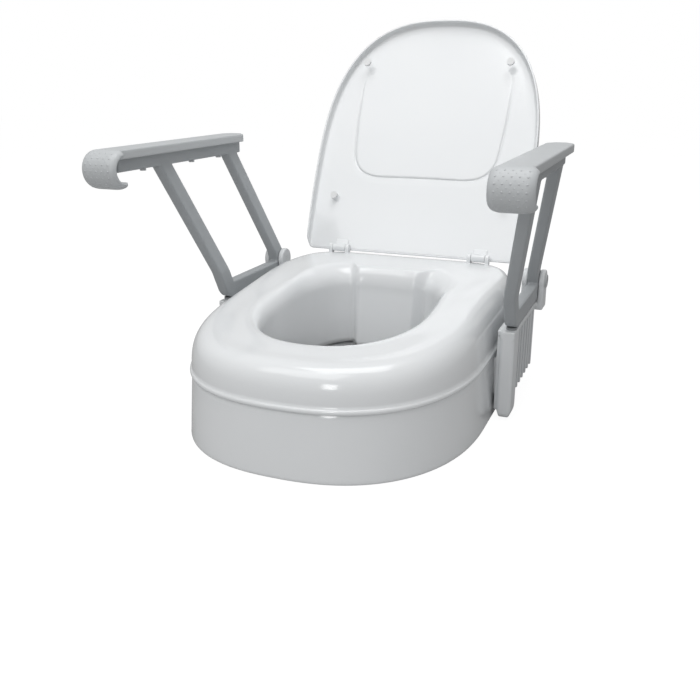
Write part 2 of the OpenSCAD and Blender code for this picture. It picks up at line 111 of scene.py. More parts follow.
floor_grain = floor_tree.nodes.new("ShaderNodeTexNoise")
floor_tint = floor_tree.nodes.new("ShaderNodeMix")
floor_tint.data_type = "RGBA"
floor_tint.inputs["A"].default_value = (0.42, 0.42, 0.42, 1.0)
floor_tint.inputs["B"].default_value = (0.46, 0.46, 0.46, 1.0)
floor_share.operation = "MULTIPLY"
floor_share.inputs[1].default_value = 0.70
floor_glow.inputs["Strength"].default_value = 1.34
floor_tree.links.new(floor_grain.outputs["Fac"], floor_tint.inputs["Factor"])
floor_tree.links.new(floor_tint.outputs["Result"], floor_matte.inputs["Color"])
floor_tree.links.new(floor_rays.outputs["Is Camera Ray"], floor_share.inputs[0])
floor_tree.links.new(floor_share.outputs[0], floor_mix.inputs["Fac"])
floor_tree.links.new(floor_matte.outputs[0], floor_mix.inputs[1])
floor_tree.links.new(floor_glow.outputs[0], floor_mix.inputs[2])
floor_tree.links.new(floor_mix.outputs[0], floor_out.inputs["Surface"])
floor_mesh.materials.append(floor_mat)

# --- Seat top ---
# The white seat top is one glossy injection moulding: a bead along its lip, a domed shoulder, a raised rear
# deck, an opening whose rim rolls down into a splash wall, and a broad tongue at the back of that wall.
# It is screwed to the skirt from below and carries two pairs of ears for the lid's hinge.
MM = 0.001


def new_group(name, inputs, outputs):
    group = bpy.data.node_groups.new(name, "ShaderNodeTree")
    for socket, kind, value in inputs:
        group.interface.new_socket(socket, in_out="INPUT", socket_type=kind).default_value = value
    for socket, kind in outputs:
        group.interface.new_socket(socket, in_out="OUTPUT", socket_type=kind)
    return group, group.nodes.new("NodeGroupInput"), group.nodes.new("NodeGroupOutput")


# Slow change of tone over a moulding, as resin and light handling leave it
moulded_tone, tone_in, tone_out = new_group(
    "moulded_tone",
    [("Tone", "NodeSocketColor", (0.8, 0.8, 0.8, 1.0)), ("Shade", "NodeSocketColor", (0.7, 0.7, 0.7, 1.0)),
     ("Scale", "NodeSocketFloat", 9.0), ("Speck", "NodeSocketFloat", 0.3)],
    [("Color", "NodeSocketColor")])
tone_place = moulded_tone.nodes.new("ShaderNodeTexCoord")
tone_cloud = moulded_tone.nodes.new("ShaderNodeTexNoise")
tone_cloud.inputs["Detail"].default_value = 3.0
tone_speck = moulded_tone.nodes.new("ShaderNodeTexNoise")
tone_speck.inputs["Scale"].default_value = 900.0
tone_weigh = moulded_tone.nodes.new("ShaderNodeMix")
tone_blend = moulded_tone.nodes.new("ShaderNodeMix")
tone_blend.data_type = "RGBA"
for a, b in ((tone_place.outputs["Object"], tone_cloud.inputs["Vector"]),
             (tone_place.outputs["Object"], tone_speck.inputs["Vector"]),
             (tone_in.outputs["Scale"], tone_cloud.inputs["Scale"]),
             (tone_in.outputs["Speck"], tone_weigh.inputs["Factor"]),
             (tone_cloud.outputs["Fac"], tone_weigh.inputs["A"]),
             (tone_speck.outputs["Fac"], tone_weigh.inputs["B"]),
             (tone_weigh.outputs["Result"], tone_blend.inputs["Factor"]),
             (tone_in.outputs["Tone"], tone_blend.inputs["A"]),
             (tone_in.outputs["Shade"], tone_blend.inputs["B"]),
             (tone_blend.outputs["Result"], tone_out.inputs["Color"])):
    moulded_tone.links.new(a, b)

# Gloss that varies where hands and cloths have rubbed it
rubbed_gloss, gloss_in, gloss_out = new_group(
    "rubbed_gloss",
    [("Low", "NodeSocketFloat", 0.1), ("High", "NodeSocketFloat", 0.3), ("Scale", "NodeSocketFloat", 14.0)],
    [("Roughness", "NodeSocketFloat")])
gloss_place = rubbed_gloss.nodes.new("ShaderNodeTexCoord")
gloss_cloud = rubbed_gloss.nodes.new("ShaderNodeTexNoise")
gloss_cloud.inputs["Detail"].default_value = 5.0
gloss_range = rubbed_gloss.nodes.new("ShaderNodeMapRange")
gloss_range.inputs["From Min"].default_value = 0.3
gloss_range.inputs["From Max"].default_value = 0.7
for a, b in ((gloss_place.outputs["Object"], gloss_cloud.inputs["Vector"]),
             (gloss_in.outputs["Scale"], gloss_cloud.inputs["Scale"]),
             (gloss_cloud.outputs["Fac"], gloss_range.inputs["Value"]),
             (gloss_in.outputs["Low"], gloss_range.inputs["To Min"]),
             (gloss_in.outputs["High"], gloss_range.inputs["To Max"]),
             (gloss_range.outputs["Result"], gloss_out.inputs["Roughness"])):
    rubbed_gloss.links.new(a, b)

# Fine texture of the mould's own surface
mould_grain, grain_in, grain_out = new_group(
    "mould_grain", [("Scale", "NodeSocketFloat", 400.0), ("Coarse", "NodeSocketFloat", 40.0)],
    [("Height", "NodeSocketFloat")])
grain_place = mould_grain.nodes.new("ShaderNodeTexCoord")
grain_fine = mould_grain.nodes.new("ShaderNodeTexNoise")
grain_wave = mould_grain.nodes.new("ShaderNodeTexNoise")
grain_sum = mould_grain.nodes.new("ShaderNodeMath")
grain_sum.operation = "ADD"
for a, b in ((grain_place.outputs["Object"], grain_fine.inputs["Vector"]),
             (grain_place.outputs["Object"], grain_wave.inputs["Vector"]),
             (grain_in.outputs["Scale"], grain_fine.inputs["Scale"]),
             (grain_in.outputs["Coarse"], grain_wave.inputs["Scale"]),
             (grain_fine.outputs["Fac"], grain_sum.inputs[0]),
             (grain_wave.outputs["Fac"], grain_sum.inputs[1]),
             (grain_sum.outputs[0], grain_out.inputs["Height"])):
    mould_grain.links.new(a, b)


def moulding_finish(name, tone, shade, gloss, grain, grain_depth, coat=0.0, metal=0.0, cloud=9.0, speck=0.3):
    """Plastic, rubber or metal whose tone, gloss and grain each come from their node group."""
    finish = bpy.data.materials.new(name)
    finish.use_nodes = True
    tree = finish.node_tree
    surface = tree.nodes["Principled BSDF"]
    surface.inputs["Metallic"].default_value = metal
    surface.inputs["Coat Weight"].default_value = coat
    surface.inputs["Coat Roughness"].default_value = 0.06
    tones, glosses, grains = [tree.nodes.new("ShaderNodeGroup") for _ in range(3)]
    tones.node_tree, glosses.node_tree, grains.node_tree = moulded_tone, rubbed_gloss, mould_grain
    tones.inputs["Tone"].default_value = (*tone, 1.0)
    tones.inputs["Shade"].default_value = (*shade, 1.0)
    tones.inputs["Scale"].default_value = cloud
    tones.inputs["Speck"].default_value = speck
    glosses.inputs["Low"].default_value, glosses.inputs["High"].default_value = gloss
    grains.inputs["Scale"].default_value, grains.inputs["Coarse"].default_value = grain
    bump = tree.nodes.new("ShaderNodeBump")
    bump.inputs["Strength"].default_value = 0.5
    bump.inputs["Distance"].default_value = grain_depth
    tree.links.new(tones.outputs["Color"], surface.inputs["Base Color"])
    tree.links.new(glosses.outputs["Roughness"], surface.inputs["Roughness"])
    tree.links.new(grains.outputs["Height"], bump.inputs["Height"])
    tree.links.new(bump.outputs["Normal"], surface.inputs["Normal"])
    return finish


white_gloss = moulding_finish("white_gloss_moulding", (0.83, 0.845, 0.855), (0.79, 0.81, 0.825),
                              (0.10, 0.17), (700.0, 26.0), 0.00010, coat=0.35, speck=0.1)

widest_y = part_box("seat_shell")[0].y / MM + 228.6
seat_half, seat_front, seat_back, lip_z = 190.0, 226.0, 290.0, 88.0
rise_front, rise_back, skin_t = 50.0, 77.0, 3.2
opening_half, opening_front, opening_back, splash_z = 106.0, 136.0, 176.0, 44.0
bead_r, bead_tall, shoulder_depth, shoulder_power = 2.6, 3.4, 38.0, 2.8
tongue_half, tongue_reach, tongue_turn = 52.0, 20.0, 20.0
front_steps, rear_steps = 64, 116


def even_quarter(half, depth, power, count):
    """Points of one quarter of the curve, from the widest line to the middle line, evenly spaced."""
    a = np.linspace(0, np.pi / 2, 6001)
    x, y = half * np.cos(a) ** (2 / power), depth * np.sin(a) ** (2 / power)
    run = np.concatenate([[0], np.cumsum(np.hypot(np.diff(x), np.diff(y)))])
    at = np.linspace(0, run[-1], count + 1)
    return np.stack([np.interp(at, run, x), np.interp(at, run, y)], 1)


def seat_outline(half, front, back, front_power, back_power):
    """The closed outline, counter-clockwise from the widest point on +X."""
    rear = even_quarter(half, back, back_power, rear_steps)
    ahead = even_quarter(half, front, front_power, front_steps) * (1, -1)
    right_rear, left_rear = rear[:-1], (rear * (-1, 1))[:0:-1]
    left_front, right_front = (ahead * (-1, 1))[:-1], ahead[:0:-1]
    return np.concatenate([right_rear, left_rear, left_front, right_front])


def smooth(t):
    t = np.clip(t, 0, 1)
    return t * t * (3 - 2 * t)


def seat_rise(y):
    return rise_front + (rise_back - rise_front) * smooth((y + seat_front) / (seat_front + opening_back))


def skin_grid(name, grid, closed=False, flip=False):
    """A mesh of quads over rows of points: each row is one ring round the piece."""
    rows, count = grid.shape[:2]
    faces = []
    for r in range(rows if closed else rows - 1):
        for i in range(count):
            quad = (r * count + i, r * count + (i + 1) % count,
                    (r + 1) % rows * count + (i + 1) % count, (r + 1) % rows * count + i)
            faces.append(quad[::-1] if flip else quad)
    mesh = bpy.data.meshes.new(name)
    mesh.from_pydata((grid.reshape(-1, 3) * MM).tolist(), [], faces)
    mesh.polygons.foreach_set("use_smooth", [True] * len(faces))
    piece = bpy.data.objects.new(name, mesh)
    bpy.context.scene.collection.objects.link(piece)
    return piece


def settle(piece, *modifiers):
    """Adds each modifier with its values and applies them all."""
    for kind, values in modifiers:
        modifier = piece.modifiers.new(kind.lower(), kind)
        for key, value in values.items():
            setattr(modifier, key, value)
    bpy.context.view_layer.update()
    worked = piece.evaluated_get(bpy.context.evaluated_depsgraph_get())
    mesh = bpy.data.meshes.new_from_object(worked)
    piece.modifiers.clear()
    piece.data = mesh
    mesh.polygons.foreach_set("use_smooth", [True] * len(mesh.polygons))
    return piece


def finish_piece(piece, body, finish, slot, *nodes):
    piece.data.materials.clear()
    piece.data.materials.append(finish)
    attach(piece, body)
    if nodes:
        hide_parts(*nodes)
    return piece


lip = seat_outline(seat_half, seat_front, seat_back, 2.4, 6.0)
opening = seat_outline(opening_half, opening_front, opening_back, 2.2, 3.0)
behind = opening[:, 1] > opening_back * 0.5
tongue_share = smooth((tongue_half + tongue_turn / 2 - np.abs(opening[:, 0])) / tongue_turn) * behind
rolled = opening - np.outer(tongue_share, (0.0, tongue_reach))
inward = rolled - lip
width = np.linalg.norm(inward, axis=1, keepdims=True)
inward /= width
corner_share = smooth((np.abs(opening[:, 0]) - 20) / 40) * smooth((opening[:, 1] - 60) / 60)
rim_roll, corner_roll, tongue_roll = 20.0, 16.0, 6.0
roll = (rim_roll + corner_roll * corner_share * (1 - tongue_share) - tongue_roll * tongue_share)[:, None]
lip_rise, rim_rise = seat_rise(lip[:, 1])[:, None], seat_rise(rolled[:, 1])[:, None]


def seat_row(plan, height):
    return np.concatenate([plan + (0, widest_y), height], 1)


seat_rows = []
for a in np.radians(np.linspace(-50, 84, 11)):
    seat_rows.append(seat_row(lip - inward * (bead_r * math.cos(a)),
                              np.full_like(width, lip_z + bead_tall * math.sin(a))))
for a in np.radians(np.concatenate([[4.2, 4.8, 6.5], np.linspace(10, 90, 17)])):
    seat_rows.append(seat_row(lip + inward * shoulder_depth * (1 - math.cos(a) ** (2 / shoulder_power)),
                              lip_z + lip_rise * math.sin(a) ** (2 / shoulder_power)))
for t in np.linspace(0, 1, 9)[1:-1]:
    along = shoulder_depth + (width - roll - shoulder_depth) * t
    seat_rows.append(seat_row(lip + inward * along, lip_z + lip_rise + (rim_rise - lip_rise) * smooth(t)))
drop_share = 0.42
for a in np.radians(np.linspace(0, 90, 15)):
    seat_rows.append(seat_row(rolled - inward * roll * (1 - math.sin(a)),
                              lip_z + rim_rise * (1 - drop_share * (1 - math.cos(a)))))
rim_low = lip_z + rim_rise * (1 - drop_share)
for t in np.linspace(0, 1, 13)[1:]:
    seat_rows.append(seat_row(rolled + inward * (4.0 + 8.0 * tongue_share[:, None]) * t,
                              rim_low + (splash_z - rim_low) * t))
seat_top = skin_grid("seat_top", np.array(seat_rows))
settle(seat_top, ("SOLIDIFY", {"thickness": skin_t * MM, "offset": -1.0, "use_even_offset": False}))
finish_piece(seat_top, "seat", white_gloss, "white_shell", "seat_shell")

# --- Skirt ---
# The lower white moulding flares out to a rounded hem. Inside it a flange rests over the bowl's rim, with a
# tab on each side for a clamp and a flat seat on the outside for each arm bracket.
skirt_flare, skirt_wall, skirt_top, flange_z, flange_t = 6.0, 3.5, 85.2, 34.0, 5.0


def grown(outline, grow):
    """The outline moved outwards by grow."""
    ahead, before = np.roll(outline, -1, 0), np.roll(outline, 1, 0)
    along = ahead - before
    out = np.stack([along[:, 1], -along[:, 0]], 1)
    return outline + out / np.linalg.norm(out, axis=1, keepdims=True) * grow


def flat_row(grow, height, outline):
    return seat_row(grown(outline, grow), np.full((len(outline), 1), height))


skirt_section = [(-0.9, skirt_top)]
for z in np.linspace(skirt_top - 0.9, 5, 12):
    skirt_section.append((-0.2 + (skirt_flare + 0.2) * (1 - z / skirt_top) ** 0.9, z))
skirt_section += [(skirt_flare - 0.10, 2.4), (skirt_flare - 0.35, 1.1), (skirt_flare - 0.9, 0.3),
                  (skirt_flare - 1.7, 0.0), (skirt_flare - 2.6, 0.3), (skirt_flare - skirt_wall, 1.4)]
for z in np.linspace(4, skirt_top, 10):
    skirt_section.append((-skirt_wall + skirt_flare * (1 - z / skirt_top), z))
skirt = skin_grid("skirt", np.array([flat_row(g, z, lip) for g, z in skirt_section]), closed=True, flip=True)
finish_piece(skirt, "seat", white_gloss, "white_shell", "base_skirt")

flange_rows = [flat_row(1.4, flange_z, lip), flat_row(1.4, flange_z + flange_t, lip)]
flange_rows += [flat_row(4.0, flange_z + flange_t, opening), flat_row(3.2, flange_z + flange_t / 2, opening),
                flat_row(4.0, flange_z, opening)]
flange = skin_grid("skirt_flange", np.array(flange_rows), closed=True, flip=True)
finish_piece(flange, "seat", white_gloss, "white_shell")


def rounded_rect(w, h, r, n=5):
    """Outline of a rectangle with round corners, counter-clockwise."""
    points = []
    for c, (sx, sy) in enumerate(((1, 1), (-1, 1), (-1, -1), (1, -1))):
        for a in np.radians(90 * c + np.linspace(0, 90, n)):
            points.append((sx * (w / 2 - r) + r * math.cos(a), sy * (h / 2 - r) + r * math.sin(a)))
    return np.array(points)


def lofted(sections):
    """Vertices and faces of a closed bar through a list of sections."""
    count, size = len(sections), len(sections[0])
    faces = [(k * size + i, k * size + (i + 1) % size, (k + 1) * size + (i + 1) % size, (k + 1) * size + i)
             for k in range(count - 1) for i in range(size)]
    faces += [tuple(range(size))[::-1], tuple((count - 1) * size + i for i in range(size))]
    return np.concatenate(sections), faces


def upright_bar(outline, x, y, z_low, z_high, ease=0.8):
    """A plate or post along Z whose ends are eased."""
    centre = outline.mean(0)
    steps = ((z_low, 1), (z_low + ease, 0), (z_high - ease, 0), (z_high, 1))
    return lofted([np.concatenate([(outline - centre) * (1 - 0.04 * k) + centre + (x, y),
                                   np.full((len(outline), 1), z)], 1) for z, k in steps])


def across_bar(outline, x_low, x_high, ease=0.8, pull=0.03):
    """A plate along X from an outline in (y, z), whose ends are eased."""
    centre = outline.mean(0)
    steps = ((x_low, 1), (x_low + ease, 0), (x_high - ease, 0), (x_high, 1))
    return lofted([np.concatenate([np.full((len(outline), 1), x),
                                   (outline - centre) * (1 - pull * k) + centre], 1) for x, k in steps])


def moulded(name, bars, side, voxel=0.0, passes=0):
    """Joins bars into one moulding. A voxel size fuses them and the passes soften the corners."""
    verts, faces = [], []
    for points, quads in bars:
        points = np.array(points) * (side, 1, 1) + (0, widest_y, 0)
        start = sum(len(v) for v in verts)
        verts.append(points)
        faces += [tuple(start + i for i in (q if side > 0 else q[::-1])) for q in quads]
    mesh = bpy.data.meshes.new(name)
    mesh.from_pydata((np.concatenate(verts) * MM).tolist(), [], faces)
    piece = bpy.data.objects.new(name, mesh)
    bpy.context.scene.collection.objects.link(piece)
    if voxel:
        settle(piece, ("REMESH", {"mode": "VOXEL", "voxel_size": voxel * MM, "use_smooth_shade": True}),
               ("SMOOTH", {"factor": 0.5, "iterations": passes}))
    return piece


tab_w, tab_d, tab_x = 50, 42, 90
bracket_pad_w, bracket_pad_tall, bracket_pad_z, bracket_pad_x = 28, 54, 53, (182, 197.5)
for side, word in ((1, "right"), (-1, "left")):
    tab = upright_bar(rounded_rect(tab_w, tab_d, 3), tab_x, 0, flange_z + 0.1, flange_z + flange_t - 0.1)
    pads = [across_bar(rounded_rect(bracket_pad_w, bracket_pad_tall, 3) + (y, bracket_pad_z), *bracket_pad_x)
            for y in (74, 182)]
    seat_pads = moulded(f"skirt_tab_and_pads_{word}", [tab] + pads, side)
    finish_piece(seat_pads, "seat", white_gloss, "white_shell")

# --- Lid hinge ---
# Two pairs of small ears stand on the rear deck. A steel pin goes through each pair and through the lid's
# knuckle between them, so the lid swings between its open rest and the seat.
hinge = next(j for j in frame["joints"] if j["name"] == "lid_hinge")
hinge_y, hinge_z = hinge["pos_m"][1] / MM - widest_y, hinge["pos_m"][2] / MM
hinge_x, knuckle_r, knuckle_len, ear_t = 118.0, 6.4, 22.0, 6.0


def ear_outline(radius, drop, n=13):
    """Side view of an ear: round over the pin and straight down to the deck."""
    a = np.radians(np.linspace(0, 180, n))
    top = np.stack([radius * np.cos(a), radius * np.sin(a)], 1)
    foot = [(-radius * 1.1, -drop), (radius * 0.62, -drop), (radius * 0.8, -radius * 0.6)]
    return np.concatenate([top, foot])


ear_drop, ear_set_out = 10.5, knuckle_len / 2 + 3.4
for side, word in ((1, "right"), (-1, "left")):
    ears = [across_bar(ear_outline(knuckle_r, ear_drop) + (hinge_y, hinge_z), x - ear_t / 2, x + ear_t / 2,
                       pull=0.08) for x in (hinge_x - ear_set_out, hinge_x + ear_set_out)]
    pair = moulded(f"lid_ears_{word}", ears, side, voxel=0.6, passes=3)
    finish_piece(pair, "seat", white_gloss, "white_shell")

# --- Lid ---
# The lid is a thin white moulding with a turned rim all round, open only at the hinge. A shallow line inside
# it marks out a panel and fades away towards the crown. Its back is plain and slightly rounded at the edge.
lid_len, lid_half, lid_foot_half, lid_base, lid_t, lid_rim = 404.0, 185.0, 179.0, 7.4, 3.2, 12.0
lid_curve_start, lid_power, lid_lean = 150.0, 2.6, 27.0
lid_centre = np.array([0.0, 215.0])
ray_count, foot_s, foot_r = 320, -1.8, 8.0


def lid_half_at(s):
    """Half of the lid's width at a distance from its foot."""
    if s < lid_curve_start:
        return lid_foot_half + (lid_half - lid_foot_half) * (1 - (1 - s / lid_curve_start) ** 2)
    share = (s - lid_curve_start) / (lid_len - lid_curve_start)
    return lid_half * (1 - share ** lid_power) ** (1 / lid_power)


def closed_curve(right):
    """The whole outline from its right half, in (x, s)."""
    right = np.array(right)
    return np.concatenate([right, (right * (-1, 1))[::-1]])


def cast(curve, angles):
    """Distance from the lid's centre to the curve along each angle."""
    a, b = curve - lid_centre, np.roll(curve, -1, 0) - lid_centre
    reach = []
    for angle in angles:
        d = np.array([math.cos(angle), math.sin(angle)])
        cross = d[0] * (b - a)[:, 1] - d[1] * (b - a)[:, 0]
        with np.errstate(divide="ignore", invalid="ignore"):
            t = (a[:, 0] * (b - a)[:, 1] - a[:, 1] * (b - a)[:, 0]) / cross
            u = (a[:, 0] * d[1] - a[:, 1] * d[0]) / cross
        hit = (t > 0) & (u >= -1e-9) & (u <= 1 + 1e-9)
        reach.append(t[hit].min())
    return np.array(reach)


corner = [(lid_foot_half - foot_r * (1 - math.sin(a)), foot_s + foot_r * (1 - math.cos(a)))
          for a in np.radians(np.linspace(0, 90, 7))]
sides = [(lid_half_at(s), s) for s in np.linspace(foot_s + foot_r + 4, lid_curve_start, 16)]
crown = [(lid_half_at(s), s) for s in lid_curve_start
         + (lid_len - lid_curve_start) * np.sin(np.linspace(0, np.pi / 2, 90)[1:])]
lid_curve = closed_curve([(0.0, foot_s)] + corner + sides + crown)
panel_low, panel_half, panel_corner = 129.0, 123.0, 40.0
panel_right = [(0.0, panel_low)]
panel_right += [(panel_half - panel_corner * (1 - math.sin(a)), panel_low + panel_corner * (1 - math.cos(a)))
                for a in np.radians(np.linspace(0, 90, 9))]
for s in np.linspace(panel_low + panel_corner + 5, 372, 40):
    panel_right.append((min(panel_half + 5.0 * smooth((s - 160) / 80), lid_half_at(s + 24.0) - 22.0), s))
panel_right += [(0.0, 374.0)]
panel_curve = closed_curve(panel_right)
angles = np.linspace(0, 2 * np.pi, ray_count, endpoint=False)
rim_reach, panel_reach = cast(lid_curve, angles), cast(panel_curve, angles)
panel_reach = np.mean([np.roll(panel_reach, k) for k in range(-7, 8)], axis=0)
ray = np.stack([np.cos(angles), np.sin(angles)], 1)
rim_plan = lid_centre + ray * rim_reach[:, None]
rim_here = smooth((rim_plan[:, 1] - foot_s - 2) / 16)
lean = Matrix.Rotation(math.radians(-90 - lid_lean), 3, "X")


def lid_ring(reach, height):
    """A ring over the lid, drawn closed and turned to the open rest."""
    plan = lid_centre + ray * np.reshape(reach, (-1, 1))
    points = np.stack([plan[:, 0], -plan[:, 1], np.broadcast_to(height, len(plan))], 1)
    turned = points @ np.array(lean).T
    return turned + (0, hinge_y + widest_y, hinge_z)


def panel_line(reach):
    """Share of the panel line's depth, which fades out towards the lid's crown."""
    return 1 - smooth((lid_centre[1] + ray[:, 1] * reach - 200) / 120)


lid_wall, edge_r = 3.2, 4.0
under, over = lid_base, lid_base + lid_t
lid_rings = [lid_ring(rim_reach * k, over) for k in (0.001, 0.006, 0.3, 0.6, 0.85)]
rim_draft, rim_end_r, foot_edge, foot_lift = 0.3, 1.0, 1.2, 2.6
for a in np.radians(np.linspace(0, 90, 8)):
    turn_in, turn_down = 1 - math.sin(a), 1 - math.cos(a)
    lid_rings.append(lid_ring(rim_reach - edge_r * turn_in, over - edge_r * turn_down * rim_here
                              - foot_edge * turn_down * (1 - rim_here)))
rim_low_z = under - lid_rim * rim_here
for t in (0.4, 0.85):
    lid_rings.append(lid_ring(rim_reach - rim_draft * t,
                              (over - edge_r) * (1 - t) + (rim_low_z + rim_end_r) * t
                              + (1 - rim_here) * (1 - t) * foot_lift))
for a in np.radians(np.linspace(0, 180, 7)):
    lid_rings.append(lid_ring(rim_reach - rim_draft - lid_wall / 2 * (1 - math.cos(a)),
                              rim_low_z + rim_end_r - math.sin(a)))
fillet_r = 5.0
for a in np.radians(np.linspace(0, 90, 7)):
    lid_rings.append(lid_ring(rim_reach - rim_draft - lid_wall - fillet_r * (1 - math.cos(a)),
                              under - fillet_r * rim_here * (1 - math.sin(a))))
for t in (0.35, 0.7, 0.9):
    lid_rings.append(lid_ring((rim_reach - 8.5) * (1 - t) + (panel_reach + 3.0) * t, under))
panel_inset, panel_proud = 5.0, 0.55
groove = ((2.4, 0.0), (1.5, 0.25), (0.7, 1.1), (0.0, 1.3), (-0.7, 0.95), (-1.6, -0.15), (-2.8, -0.5),
          (-panel_inset, -panel_proud))
for out, deep in groove:
    lid_rings.append(lid_ring(panel_reach + out, under + deep * panel_line(panel_reach)))
for k in (0.9, 0.75, 0.6, 0.45, 0.3, 0.15, 0.006, 0.001):
    inner_reach = (panel_reach - panel_inset) * k
    lid_rings.append(lid_ring(inner_reach, under - panel_proud * panel_line(inner_reach)))
lid_shell = skin_grid("lid_shell", np.array(lid_rings), closed=True)
finish_piece(lid_shell, "lid", white_gloss, "white_shell", "lid")

for side, word in ((1, "right"), (-1, "left")):
    round_bar = np.stack([knuckle_r * np.cos(angles[::16]), knuckle_r * np.sin(angles[::16])], 1)
    web = np.array([(1.0, under - 2.0), (1.0, over - 0.4), (-16.0, over - 0.6), (-16.0, under - 1.2)])[::-1]
    ends = (hinge_x - knuckle_len / 2, hinge_x + knuckle_len / 2)
    knuckle = moulded(f"lid_knuckle_{word}", [across_bar(round_bar, *ends), across_bar(web, *ends, pull=0.0)],
                      side, voxel=0.6, passes=3)
    turned_up = Matrix.Translation(Vector((0, (hinge_y + widest_y) * MM, hinge_z * MM))) @ lean.to_4x4() \
        @ Matrix.Translation(Vector((0, -widest_y * MM, 0)))
    knuckle.data.transform(turned_up)
    finish_piece(knuckle, "lid", white_gloss, "white_shell")

# --- Arm frames ---
# Each armrest hangs on a moulded frame of the arm plastic, its grey painted darker as painted shade: a flat bar
# bent into a foot and two leaning posts, with a rail along the top. It is about 16 mm thick and splays outwards
# above the hinge, and it turns on a pin at its rear foot.
# Painted shade: the arm plastic's grey, darkened to stand in for the shade that falls on the posts and rail.
arm_grey_painted_shade = moulding_finish("satin_grey_moulding", (0.405, 0.425, 0.44), (0.365, 0.385, 0.40),
                             (0.40, 0.52), (1500.0, 160.0), 0.00016, speck=0.5)
arm_foot_x, arm_splay, arm_t, bar_depth, post_lean = 214.0, 32.0, 16.0, 24.6, 0.53
pivot_y, pivot_z, post_gap, foot_rail_z = 218.0, 155.0, 178.0, 141.0
rail_z, rail_h, splay_low_z, pad_back, grip_y = 344.8, 24.0, 173.0, 152.0, -166.0


def bar_x(z):
    """Middle of the frame's thickness at a height: upright at the foot, then splayed outwards."""
    return arm_foot_x + arm_splay * np.clip((z - splay_low_z) / (336.8 - splay_low_z), 0, 1)


def bent_path(corners, radii, spacing=6.0):
    """A path of (y, z) points through corners, each turned on its own radius."""
    path = [np.array(corners[0], float)]
    for before, at, after, radius in zip(corners[:-2], corners[1:-1], corners[2:], radii):
        before, at, after = (np.array(p, float) for p in (before, at, after))
        go, leave = (before - at) / np.linalg.norm(before - at), (after - at) / np.linalg.norm(after - at)
        half = math.acos(float(np.clip(go @ leave, -1, 1))) / 2
        reach = radius / math.tan(half)
        middle = at + (go + leave) / np.linalg.norm(go + leave) * radius / math.sin(half)
        start, end = at + go * reach - middle, at + leave * reach - middle
        turn = math.acos(float(np.clip(start @ end / radius ** 2, -1, 1)))
        for t in np.linspace(0, 1, 9):
            swung = start * math.sin((1 - t) * turn) + end * math.sin(t * turn)
            path.append(middle + swung / math.sin(turn))
    path.append(np.array(corners[-1], float))
    dense = [path[0]]
    for a, b in zip(path[:-1], path[1:]):
        steps = max(1, int(np.linalg.norm(b - a) // spacing))
        dense += [a + (b - a) * k / steps for k in range(1, steps + 1)]
    return np.array(dense)


def swept_bar(path, outline):
    """A bar of one section along a path in the side view, set out by the frame's splay."""
    along = np.gradient(path, axis=0)
    along /= np.linalg.norm(along, axis=1, keepdims=True)
    across = np.stack([-along[:, 1], along[:, 0]], 1)
    sections = []
    for p, n in zip(path, across):
        yz = p + outline[:, 1:] * n
        sections.append(np.concatenate([(bar_x(yz[:, 1]) + outline[:, 0])[:, None], yz], 1))
    return lofted(sections)


def post_y(foot, z):
    """Middle of a leaning post at a height, from its place level with the hinge."""
    return foot + (pivot_z - z) * post_lean


front_foot, eye_r = pivot_y - post_gap, 16.0
frame_path = bent_path([(post_y(pivot_y, rail_z), rail_z), (post_y(pivot_y, foot_rail_z) - 4, foot_rail_z),
                        (post_y(front_foot, foot_rail_z), foot_rail_z), (post_y(front_foot, rail_z), rail_z)],
                       [13.5, 15.0])
for side, word in ((1, "right"), (-1, "left")):
    foot_and_posts = swept_bar(frame_path, rounded_rect(arm_t, bar_depth, 2.5))
    rail = rounded_rect(arm_t, rail_h, 2.5)
    top_rail = lofted([np.stack([arm_foot_x + arm_splay + rail[:, 0], np.full(len(rail), y),
                                 rail_z + rail[:, 1]], 1) for y in np.linspace(grip_y + 8, pad_back - 5, 30)])
    eye_ring = np.stack([pivot_y + eye_r * np.cos(angles[::10]), pivot_z + eye_r * np.sin(angles[::10])], 1)
    eye = across_bar(eye_ring, arm_foot_x - arm_t / 2, arm_foot_x + arm_t / 2)
    arm = moulded(f"arm_frame_moulding_{word}", [foot_and_posts, top_rail, eye], side, voxel=1.25, passes=4)
    finish_piece(arm, f"arm_{word}", arm_grey_painted_shade, "arm_plastic", f"arm_frame_{word}")

# --- Arm pads and grips ---
# A pad of the arm plastic's own grey, paler than the frame's painted shade, clips over the top rail. Its plate
# has thin side lips and clipped rear corners. In front it curls down into a drum-shaped grip with rows of small
# raised dots. Three screws hold it from below.
pale_grey = moulding_finish("pale_grey_moulding", (0.56, 0.58, 0.59), (0.51, 0.53, 0.545),
                            (0.36, 0.48), (1300.0, 120.0), 0.00014, speck=0.5)
pad_z, pad_w, pad_t, pad_lip, grip_r, grip_w, grip_hollow = 362.0, 38.0, 5.0, 12.0, 24.0, 50.0, 15.0
pad_x, grip_z = arm_foot_x + arm_splay, pad_z - grip_r
pad_clip, clip_slant, lip_t, lip_drop = 13.0, 0.8, 3.0, 0.7
clip_y = pad_back - pad_clip


def pad_half(y):
    """Half of the pad's width at a place along it, with its rear corners clipped."""
    return pad_w / 2 - max(0.0, y - clip_y) * clip_slant


def grip_reach(place):
    """The grip's radius at a place across it, from -1 to 1. It falls off towards both ends."""
    fall = np.clip(np.abs(place) - 0.45, 0, 1) / 0.56
    return grip_r - 0.2 - 7.5 * (1 - np.sqrt(np.clip(1 - fall ** 2.2, 0, 1)))


